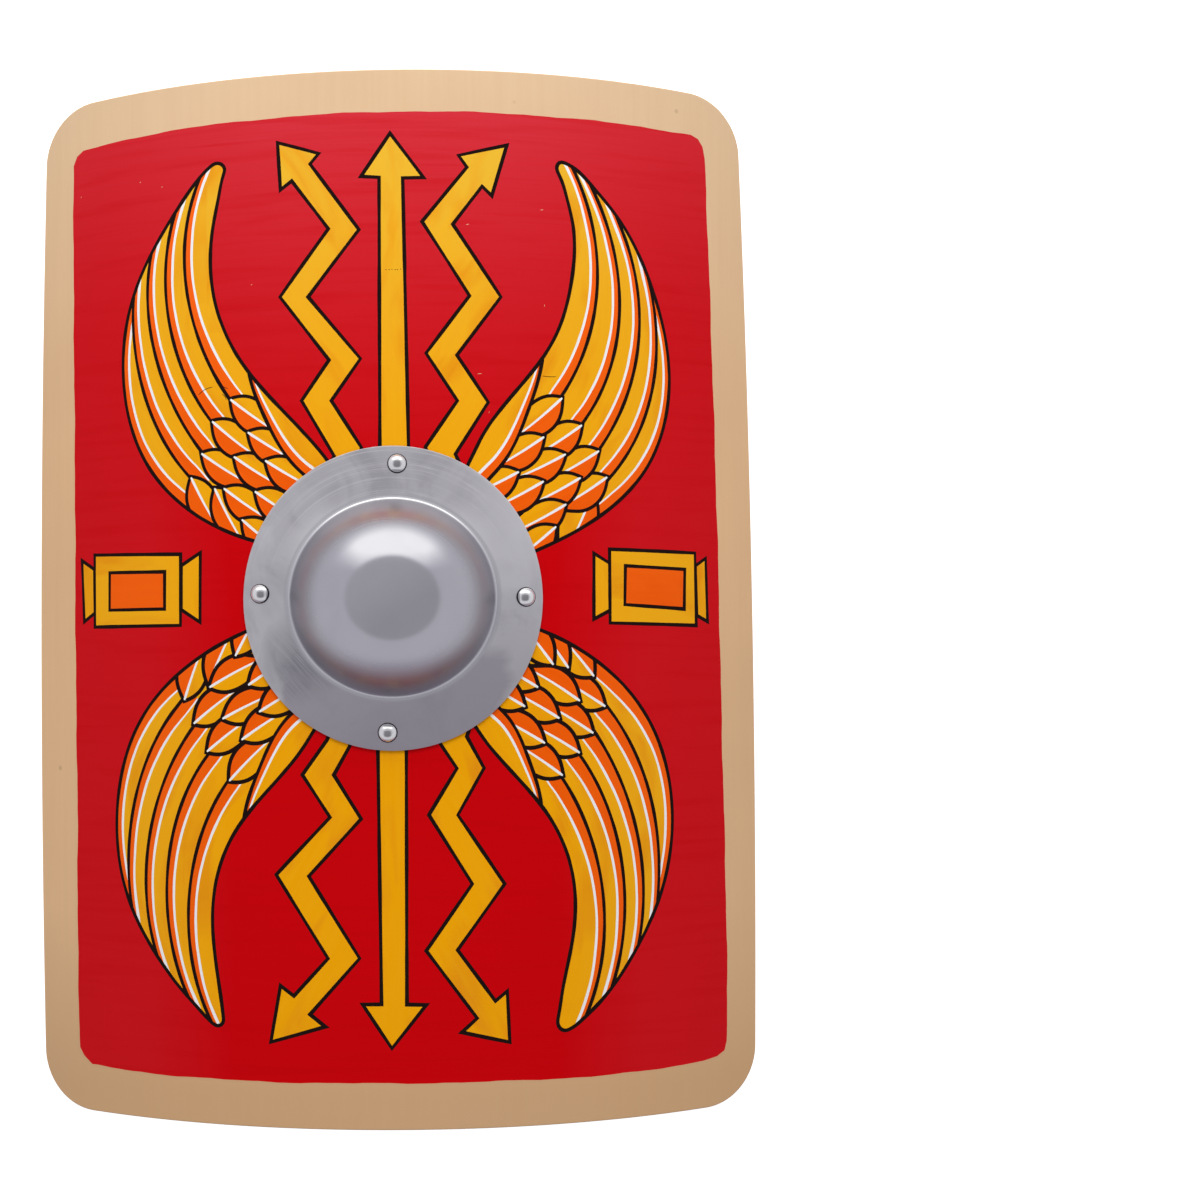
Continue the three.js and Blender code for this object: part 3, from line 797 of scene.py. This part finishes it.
class Nodes:
    """Adds and joins the nodes of one tree. A plain value is set on the socket itself."""

    def __init__(self, tree):
        self.tree = tree

    def add(self, kind, **values):
        """A node; a value whose name starts with an underscore is for the input of that name."""
        node = self.tree.nodes.new("ShaderNode" + kind)
        for key, value in values.items():
            if key.startswith("_"):
                node.inputs[key[1:].replace("_", " ")].default_value = value
            else:
                setattr(node, key, value)
        return node

    def put(self, *pairs):
        for value, socket in pairs:
            if hasattr(value, "links"):
                self.tree.links.new(value, socket)
            else:
                socket.default_value = value

    def mix(self, factor, a, b):
        """Colour a, and colour b as far as the factor says."""
        node = self.add("Mix", data_type="RGBA")
        a, b = ((*c, 1.0) if isinstance(c, tuple) else c for c in (a, b))
        self.put((factor, node.inputs[0]), (a, node.inputs[6]), (b, node.inputs[7]))
        return node.outputs[2]

    def math(self, kind, a, b=0.5, clamp=False):
        node = self.add("Math", operation=kind, use_clamp=clamp)
        self.put((a, node.inputs[0]), (b, node.inputs[1]))
        return node.outputs[0]

    def plus(self, a, b):
        return self.math("ADD", a, b)

    def minus(self, a, b):
        return self.math("SUBTRACT", a, b)

    def times(self, first, *more):
        for factor in more:
            first = self.math("MULTIPLY", first, factor)
        return first

    def ramp(self, value, low, high, lo=0.0, hi=1.0):
        node = self.add("MapRange", clamp=True)
        self.put(*zip((value, low, high, lo, hi), node.inputs))
        return node.outputs[0]

    def vector(self, kind, a, b=(0, 0, 0)):
        node = self.add("VectorMath", operation=kind)
        self.put((a, node.inputs[0]), (b, node.inputs[1]))
        return node.outputs["Value" if kind in ("LENGTH", "DISTANCE") else "Vector"]

    def xyz(self, place):
        node = self.add("SeparateXYZ")
        self.put((place, node.inputs[0]))
        return node.outputs

    def noise(self, place, scale, detail, roughness=0.5, distortion=0.0):
        node = self.add("TexNoise", _Scale=scale, _Detail=detail, _Roughness=roughness, _Distortion=distortion)
        self.put((place, node.inputs["Vector"]))
        return node.outputs["Fac"]

    def mapped(self, place, scale, **values):
        node = self.add("Mapping", _Scale=scale, **values)
        self.put((place, node.inputs["Vector"]))
        return node.outputs[0]

    def bump(self, shader, height, strength, distance):
        node = self.add("Bump", _Strength=strength, _Distance=distance)
        self.put((height, node.inputs["Height"]), (node.outputs[0], shader.inputs["Normal"]))

    def place(self):
        """The place on the piece."""
        return self.add("TexCoord").outputs["Object"]

    def brush(self):
        """The place along and across the brush's way."""
        return self.add("UVMap", uv_map="brush").outputs[0]

    def shared(self, tree, place, **values):
        """A group that several finishes share, with this finish's own values."""
        node = self.add("Group", node_tree=tree, **values)
        self.put((place, node.inputs["Place"]))
        return node.outputs


def group(name, inputs, outputs):
    """A node group: its tree, its nodes, the sockets it is given and those it gives."""
    tree = bpy.data.node_groups.new(name, "ShaderNodeTree")
    for label, kind, value in inputs:
        socket = tree.interface.new_socket(label, in_out="INPUT", socket_type="NodeSocket" + kind)
        if value is not None:
            socket.default_value = value
    for label in outputs:
        tree.interface.new_socket(label, in_out="OUTPUT", socket_type="NodeSocketFloat")
    return tree, Nodes(tree), tree.nodes.new("NodeGroupInput").outputs, tree.nodes.new("NodeGroupOutput").inputs


def material(name, **values):
    m = bpy.data.materials.new(name)
    m.use_nodes = True
    m.node_tree.nodes.clear()
    n = Nodes(m.node_tree)
    shader = n.add("BsdfPrincipled", **{"_" + key: value for key, value in values.items()})
    n.put((shader.outputs[0], n.add("OutputMaterial").inputs[0]))
    return m, n, shader


# Brush marks: long streaks along the brush's way, and broad patches where the coat is thinner
brush_streaks, n, given, gives = group("brush_streaks", [("Place", "Vector", None), ("Along", "Float", 30.0),
                                                         ("Across", "Float", 900.0)], ["Streak", "Patch"])
scale = n.add("CombineXYZ", _Z=1.0)
n.put((given["Along"], scale.inputs[0]), (given["Across"], scale.inputs[1]))
along_brush = n.vector("MULTIPLY", given["Place"], scale.outputs[0])
n.put((n.noise(along_brush, 1.0, 4.0, 0.6), gives["Streak"]),
      (n.noise(n.vector("MULTIPLY", along_brush, (0.9, 0.16, 1.0)), 1.0, 2.0, 0.5, 0.6), gives["Patch"]))


def painted_sheen(n):
    """How far the paint is lightened by a painted sheen: most at the top, and a little along the two sides."""
    x, y, _ = n.xyz(n.place())
    aside = n.math("ABSOLUTE", x)
    top = n.math("POWER", n.ramp(y, 0.0, 0.36), 2.0)
    return n.math("MAXIMUM", n.times(top, n.ramp(aside, 0.08, 0.20, 1.0, 0.68)), n.ramp(aside, 0.11, 0.17, 0.0, 0.18))


def enamel(name, base, deep, pale, patches, sheen_colour=None, streaky=0.3, roughness=0.46, along=16.0, across=260.0,
           bump=0.3):
    """Brushed enamel: its colour, a deeper one where the coat is thin, a paler one in the streaks, and a paler one for
    the painted sheen.
    """
    m, n, shader = material(name, Roughness=roughness, Specular_IOR_Level=0.03)
    coat = n.shared(brush_streaks, n.brush(), _Along=along, _Across=across)
    # painted sheen: the colour is paler at the top and along the sides, where the light catches the gloss
    if sheen_colour:
        base = n.mix(painted_sheen(n), base, sheen_colour)
    colour = n.mix(n.ramp(coat["Patch"], 0.50, 0.74, 0.0, patches), base, deep)
    colour = n.mix(n.times(n.ramp(coat["Streak"], 0.38, 0.68), streaky), colour, pale)
    n.put((colour, shader.inputs["Base Color"]),
          (n.ramp(coat["Streak"], 0.3, 0.7, roughness - 0.05, roughness + 0.07), shader.inputs["Roughness"]))
    n.bump(shader, coat["Streak"], bump, 0.00012)
    return m


def plywood(name, edge=False):
    """Bare plywood: paler at the top, darker at the bottom, clouded and specked; at its edge, light and dark plies."""
    m, n, shader = material(name, Roughness=0.55, Specular_IOR_Level=0.3)
    where = n.place()
    grain = n.noise(n.mapped(where, (150.0, 5.0, 150.0)), 1.0, 5.0, 0.65, 0.4)
    y = n.xyz(where)[1]
    # paler at the top, partly the wood's own tone and partly a painted sheen of the light from above
    base = n.mix(n.ramp(y, 0.10, 0.36), (0.755, 0.477, 0.258), (0.715, 0.500, 0.305))
    # darker at the bottom: painted shade, where less light falls
    base = n.mix(n.ramp(y, -0.34, -0.22, 1.0, 0.0), base, (0.61, 0.367, 0.187))
    colour = n.mix(n.ramp(grain, 0.35, 0.7, 0.0, 0.22), base, (0.64, 0.40, 0.225))
    colour = n.mix(n.ramp(n.noise(where, 5.0, 3.0), 0.45, 0.75, 0.0, 0.45), colour, (0.62, 0.39, 0.22))
    speck = n.add("TexVoronoi", _Scale=34.0)
    n.put((where, speck.inputs["Vector"]))
    few = n.math("GREATER_THAN", n.xyz(speck.outputs["Color"])[0], 0.72)
    colour = n.mix(n.times(n.ramp(speck.outputs["Distance"], 0.02, 0.075, 0.45, 0.0), few), colour, (0.36, 0.21, 0.11))
    if edge:
        depth = n.xyz(n.brush())[1]
        dark_ply = n.math("GREATER_THAN", n.math("FRACT", n.times(depth, -1 / (2 * PLY_THICKNESS * MM))), 0.5)
        dark = n.mix(n.ramp(n.noise(where, 1400.0, 3.0, 0.7), 0.35, 0.65), linear(150, 108, 68), linear(182, 142, 98))
        colour = n.mix(dark_ply, colour, dark)
    n.put((colour, shader.inputs["Base Color"]))
    n.bump(shader, grain, 0.25, 0.00015)
    return m


# The finishes of the board, in the order of PLY to BLACK
for finish in (
        plywood("bare_plywood"),
        plywood("plywood_edge", True),
        # after each enamel's share of patches comes, where given, the paler colour of its painted sheen
        enamel("red_enamel", (0.59, 0.0004, 0.0030), (0.53, 0.0003, 0.002), (0.62, 0.003, 0.007), 0.35,
               (0.615, 0.037, 0.054), 0.2, along=9.0, across=900.0, bump=0.2),
        enamel("yellow_enamel", (0.888, 0.375, 0.0015), (0.78, 0.265, 0.006), (0.90, 0.44, 0.010), 0.9,
               (0.755, 0.495, 0.048), 0.25),
        enamel("orange_enamel", (0.885, 0.109, 0.002), (0.82, 0.080, 0.002), (0.92, 0.140, 0.005), 0.6,
               (0.99, 0.15, 0.020)),
        enamel("white_enamel", (0.85, 0.85, 0.86), (0.80, 0.76, 0.74), (0.92, 0.92, 0.94), 0.4),
        enamel("black_enamel", (0.011, 0.0055, 0.005), (0.010, 0.005, 0.004), (0.02, 0.009, 0.008), 0.4,
               roughness=0.5)):
    board_mesh.materials.append(finish)

# Steel: fine scratches round the boss, faint stains, and how far a place is from the middle of the boss
turned_scratches, n, given, gives = group("turned_scratches", [("Place", "Vector", None), ("Rings", "Float", 900.0)],
                                          ["Scratch", "Stain", "Radius"])
from_middle = n.vector("ADD", given["Place"], (0, -BOSS_OFFSET * MM, 0))
radius = n.vector("LENGTH", n.vector("MULTIPLY", from_middle, (1 / DOME_WIDENING, 1, 0)))
axis = n.add("CombineXYZ")
n.put((n.times(radius, given["Rings"]), axis.inputs[0]),
      (n.times(n.noise(given["Place"], 14.0, 2.0), 3.0), axis.inputs[1]))
n.put((n.noise(axis.outputs[0], 1.0, 6.0, 0.7), gives["Scratch"]),
      (n.noise(given["Place"], 16.0, 4.0, 0.6, 0.8), gives["Stain"]), (radius, gives["Radius"]))


def steel(name, colour, dull, roughness, rings, metallic=1.0):
    """Steel with fine turned scratches: its nodes and its plain colour and roughness, still to be joined up."""
    m, n, shader = material(name, Metallic=metallic, Roughness=roughness)
    marks = n.shared(turned_scratches, n.place(), _Rings=rings)
    c = n.mix(n.ramp(marks["Stain"], 0.4, 0.7), colour, dull)
    matt = n.ramp(marks["Scratch"], 0.3, 0.7, roughness - 0.02, roughness + 0.03)
    return m, n, shader, marks, c, matt


def join_up(n, shader, marks, c, matt, bump):
    n.put((c, shader.inputs["Base Color"]), (matt, shader.inputs["Roughness"]))
    n.bump(shader, marks["Scratch"], bump, 0.00002)


def satin_steel():
    """The boss: a shiny dome with painted shade at its foot and a painted highlight along its crease, and a paler,
    duller flange with painted shade towards its lower end.
    """
    m, n, shader, marks, c, matt = steel("satin_steel", (0.56, 0.552, 0.605), (0.525, 0.517, 0.575), 0.12, 900.0)
    radius, stain, scratch = marks["Radius"], marks["Stain"], marks["Scratch"]
    x, y, _ = n.xyz(n.place())
    aside = n.math("ABSOLUTE", x)
    drift = n.times(stain, 0.05)
    flange = n.ramp(radius, 0.0685, 0.0715)
    # painted shade: the flange darker towards its lower end, a little more so to the right
    low = n.ramp(n.plus(n.minus(y, n.times(x, 0.18)), drift), -0.075, 0.0, 1.0, 0.0)
    # painted shade with an edge to it: the lower third of the flange darker, but not its two sides
    lower_shade = n.times(n.ramp(n.plus(y, drift), -0.026, -0.012, 1.0, 0.0),
                      n.ramp(n.plus(aside, drift), 0.095, 0.103, 1.0, 0.0))
    # a painted shade patch at the lower left, with paler slanted streaks across it
    away = n.vector("DISTANCE", n.place(), (-0.060, -0.043, 0.088))
    dark = n.ramp(n.plus(away, drift), 0.034, 0.058, 1.0, 0.0)
    slanted_place = n.mapped(n.place(), (1 / 1100, 1 / 22, 1.0), vector_type="TEXTURE", _Rotation=(0, 0, math.radians(42)))
    hatch = n.ramp(n.noise(slanted_place, 1.0, 3.0, 0.6), 0.5, 0.62, 0.0, 0.4)
    # painted highlights: bright at the upper right, on both shoulders just outside the crease, and along the turned
    # lines near the top
    shine = n.times(n.ramp(x, 0.03, 0.085), n.ramp(y, -0.01, 0.045))
    shoulder = n.times(n.ramp(radius, 0.0715, 0.083, 1.0, 0.0), n.ramp(y, 0.015, 0.04), n.ramp(aside, 0.025, 0.05))
    lines = n.times(n.ramp(scratch, 0.50, 0.62), n.ramp(y, 0.01, 0.06))
    pale = (0.71, 0.70, 0.735)
    # the flange: its own darker stains, paler stains in its upper half only, partly a painted sheen, then the painted
    # shade and highlights
    for share, colour in ((n.ramp(stain, 0.50, 0.64, 0.0, 0.42), (0.42, 0.40, 0.45)),
                          (n.times(n.ramp(stain, 0.36, 0.46, 0.40, 0.0), n.ramp(y, -0.05, 0.0)), (0.90, 0.89, 0.93)),
                          (n.times(low, 0.45), (0.44, 0.415, 0.46)), (n.times(lower_shade, 0.62), (0.40, 0.365, 0.43)),
                          (n.times(dark, 0.7), (0.27, 0.262, 0.30)), (n.times(shine, 0.75), (0.95, 0.93, 0.98)),
                          (n.times(shoulder, 0.6), (0.98, 0.97, 1.0)), (n.times(lines, 0.55), (0.95, 0.94, 0.97))):
        pale = n.mix(share, pale, colour)
    # painted shade in the foot of the dome, reaching higher up at its lower end; a painted highlight along the crease,
    # brightest at the top, where the steel is also less rough
    foot = n.plus(radius, n.ramp(y, -0.02, -0.05, 0.0, 0.006))
    foot_shade = n.times(n.ramp(foot, 0.056, 0.065, 0.0, 0.6), n.ramp(radius, 0.0655, 0.0675, 1.0, 0.0))
    crease = n.times(n.ramp(radius, 0.0665, 0.0677), n.ramp(radius, 0.0688, 0.0700, 1.0, 0.0))
    for share, colour in ((foot_shade, (0.25, 0.23, 0.255)), (flange, pale),
                          (n.times(crease, n.ramp(y, -0.01, 0.055, 0.15, 0.85)), (0.98, 0.97, 1.0)),
                          (n.times(dark, flange, hatch), (0.72, 0.71, 0.76))):
        c = n.mix(share, c, colour)
    matt = n.minus(n.plus(matt, n.ramp(foot, 0.040, 0.059, 0.0, 0.24)), n.times(crease, 0.18))
    join_up(n, shader, marks, c, matt, 0.2)
    return m


def bright_steel():
    """The rivets, each with a painted dark reflection on its head; the spot is read from the mesh."""
    m, n, shader, marks, c, matt = steel("bright_steel", (0.90, 0.90, 0.92), (0.84, 0.84, 0.86), 0.11, 3000.0, 0.82)
    dark_reflection_share = n.times(n.add("Attribute", attribute_name="struck").outputs["Fac"], 0.72)
    join_up(n, shader, marks, n.mix(dark_reflection_share, c, (0.15, 0.145, 0.16)), matt, 0.1)
    return m


def above_board(p):
    """How high a place on a mesh is above the bent board's face, in millimetres."""
    return math.hypot(p.x / MM, p.z / MM + REST_LEVEL) - BOARD_RADIUS


def paint_dark_reflection(ob, across, along):
    """Writes the painted dark reflection on a rivet's head, a little below its crown and towards the middle of the
    shield.
    """
    reach, edge, below, inwards = 2.9, 1.0, 0.7, 1.7
    crown = (BOARD_RADIUS + RIVET_BASE + RIVET_HEIGHT) * math.sin(across / BOARD_RADIUS)
    crown += inwards * ((across < -10) - (across > 10))
    values = []
    for v in ob.data.vertices:
        x, y = v.co.x / MM - crown, v.co.y / MM - along + below
        away = 0.5 * max(abs(x), abs(y) * 1.15) + 0.5 * math.hypot(x, y)
        on_head = above_board(v.co) > RIVET_BASE
        values.append(min(1.0, max(0.0, (reach - away) / edge)) if on_head else 0.0)
    ob.data.attributes.new("struck", "FLOAT", "POINT").data.foreach_set("value", values)


# The boss and the rivets; a dark band round the foot of each rivet's head is painted shade where the head meets the
# flange
SHADE_BAND_HEIGHT = 1.1
boss.data.materials.append(satin_steel())
bright = bright_steel()
rivet_shade, _, _ = material("rivet_foot_shade", Metallic=0.6, Roughness=0.5, Base_Color=(0.03, 0.028, 0.032, 1))
for ob, (across, along) in zip(rivets.values(), RIVET_PLACES):
    paint_dark_reflection(ob, across, along)
    ob.data.materials.append(bright)
    ob.data.materials.append(rivet_shade)
    for p in ob.data.polygons:
        p.material_index = int(0 < above_board(p.center) < RIVET_BASE + SHADE_BAND_HEIGHT)

grip_wood, n, shader = material("grip_wood", Roughness=0.5)
grain = n.noise(n.mapped(n.place(), (7.0, 130.0, 130.0)), 1.0, 6.0, 0.65, 0.7)
n.put((n.mix(n.ramp(grain, 0.35, 0.65), linear(176, 132, 86), linear(142, 98, 58)), shader.inputs["Base Color"]))
n.bump(shader, grain, 0.3, 0.0002)
grip.data.materials.append(grip_wood)

# ---------------------------------------------------------------- what each piece stands for
for ob, node, slot in ((board, "board", "painted_board"), (boss, "boss", "boss_steel"), (grip, "grip", "grip_wood"),
                       *((ob, name, "rivet_steel") for name, ob in rivets.items())):
    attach(ob, "root")
    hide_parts(node)

# ---------------------------------------------------------------- floor, light and camera
bpy.ops.mesh.primitive_plane_add(size=14, location=(0, 0, 0))
floor = bpy.context.object
floor.name = "floor"
pale_floor, _, _ = material("pale_floor", Roughness=0.9, Base_Color=(0.92, 0.92, 0.92, 1), Specular_IOR_Level=0.0,
                            Emission_Color=(1, 1, 1, 1), Emission_Strength=0.72)
floor.visible_glossy = False
floor.visible_diffuse = False
floor.data.materials.append(pale_floor)

# The studio round the shield, by the direction one looks: a grey disc overhead, paler walls down to a soft
# horizon that sinks towards the shield's foot, and a bright soft box beyond its top
world = bpy.data.worlds.new("studio")
bpy.context.scene.world = world
world.use_nodes = True
world.node_tree.nodes.clear()
n = Nodes(world.node_tree)
x, y, z = n.xyz(n.add("TexCoord").outputs["Generated"])
aside = n.math("ABSOLUTE", x)
oval = n.plus(*(n.math("POWER", n.math("ABSOLUTE", n.times(way, 1 / reach)), 2.0)
                for way, reach in ((x, 0.80), (y, 0.70))))
walls = n.math("MAXIMUM", n.ramp(oval, 0.94, 1.06), n.ramp(z, 0.0, 0.3, 1.0, 0.0))
lift = n.minus(n.times(aside, 0.16), n.ramp(y, -0.5, -0.95, 0.0, 0.25))
horizon = n.ramp(n.plus(z, lift), -0.25, 0.14, 0.25, 1.0)
softbox = n.times(n.ramp(aside, 0.55, 0.92, 1.0, 0.0), n.ramp(y, 0.44, 0.72), n.ramp(z, 0.08, 0.30), walls)
slant = n.ramp(n.minus(y, n.times(x, 0.6)), -0.35, 0.45, -0.010, 0.065)
level = n.plus(n.plus(n.times(walls, 0.19), 0.47), n.times(n.minus(1.0, walls), slant))
level = n.plus(n.times(level, horizon), n.times(softbox, 0.86))
tinge = n.times(n.ramp(y, -0.4, -0.8), n.ramp(horizon, 0.3, 0.9, 1.0, 0.0))
hue = n.mix(n.math("MULTIPLY", softbox, 1.0, True), (0.99, 0.985, 1.02), (1.0, 1.0, 0.95))
# beyond the floor's edge, the backdrop that is seen straight is a plain pale grey
seen = n.add("LightPath").outputs["Is Camera Ray"]
background = n.add("Background")
n.put((n.mix(seen, n.mix(tinge, hue, (0.88, 0.75, 1.03)), (1.0, 1.0, 1.0)), background.inputs["Color"]),
      (n.plus(n.times(level, n.minus(1.0, seen)), n.times(seen, 0.85)), background.inputs["Strength"]),
      (background.outputs[0], n.add("OutputWorld").inputs[0]))

light = bpy.data.lights.new("key_light", "AREA")
light.shape = "RECTANGLE"
light.size, light.size_y, light.energy = 1.9, 0.8, 16.4
lamp = placed("key_light", light)
lamp.location = (0.0, 1.25, 0.78)
lamp.rotation_euler = (Vector((0, 0, 0.06)) - lamp.location).to_track_quat("-Z", "Y").to_euler()
lamp.visible_camera = False
lamp.visible_glossy = False

view = bpy.data.cameras.new("camera")
view.lens, view.sensor_width, view.shift_x = 51.48, 36.0, 0.16667
view.clip_start, view.clip_end = 0.05, 50
camera = placed("camera", view)
turn_x, turn_y, turn_z = (math.radians(a) for a in (-2.79, -1.13, 0.58))
to_camera = Matrix.Rotation(turn_z, 4, "Z") @ Matrix.Rotation(turn_y, 4, "Y") @ Matrix.Rotation(turn_x, 4, "X")
camera.matrix_world = Matrix.Translation((0.02805, -0.06219, 1.25060)) @ to_camera.transposed()
bpy.context.scene.camera = camera
bpy.context.scene.view_settings.view_transform = "Standard"
